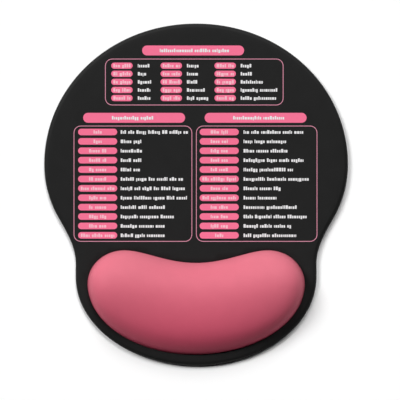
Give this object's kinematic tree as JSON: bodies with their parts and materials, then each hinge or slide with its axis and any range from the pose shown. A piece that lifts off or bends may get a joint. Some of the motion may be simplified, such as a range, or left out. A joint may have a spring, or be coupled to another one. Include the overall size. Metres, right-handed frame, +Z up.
{
  "type": "mouse mat with gel wrist rest",
  "caption": "Rounded mouse mat with a narrow waist and a raised kidney-shaped gel wrist cushion, layered from grip base, foam and stretched cloth covers.",
  "frame": {"origin": "middle of the footprint, on the desk", "axes": "+Z up from the desk, +Y from the wrist cushion towards the far edge of the mat, +X to the user's right"},
  "size_m": [0.2218, 0.25, 0.025],
  "materials": {
    "grip": "matt black polyurethane with a moulded grip pattern",
    "bond": "thin translucent hot-melt adhesive",
    "foam": "closed-cell foam sheet",
    "gel_film": "thin flexible polyurethane film",
    "gel": "soft translucent gel",
    "pink_jersey": "smooth stretch jersey with a soft sheen",
    "black_jersey": "fine stretch jersey, printed",
    "pink_ink": "thin soft transfer print on the mat cover",
    "white_ink": "thin soft transfer print on the mat cover"
  },
  "bodies": {
    "root": {"non_slip_base": "grip", "base_bond_film": "bond", "foam_core": "foam", "gel_film_lower": "gel_film", "gel_core": "gel", "gel_film_upper": "gel_film", "wrist_cover_cloth": "pink_jersey", "cover_bond_film": "bond", "mat_cover_cloth": "black_jersey"}
  },
  "joints": []
}
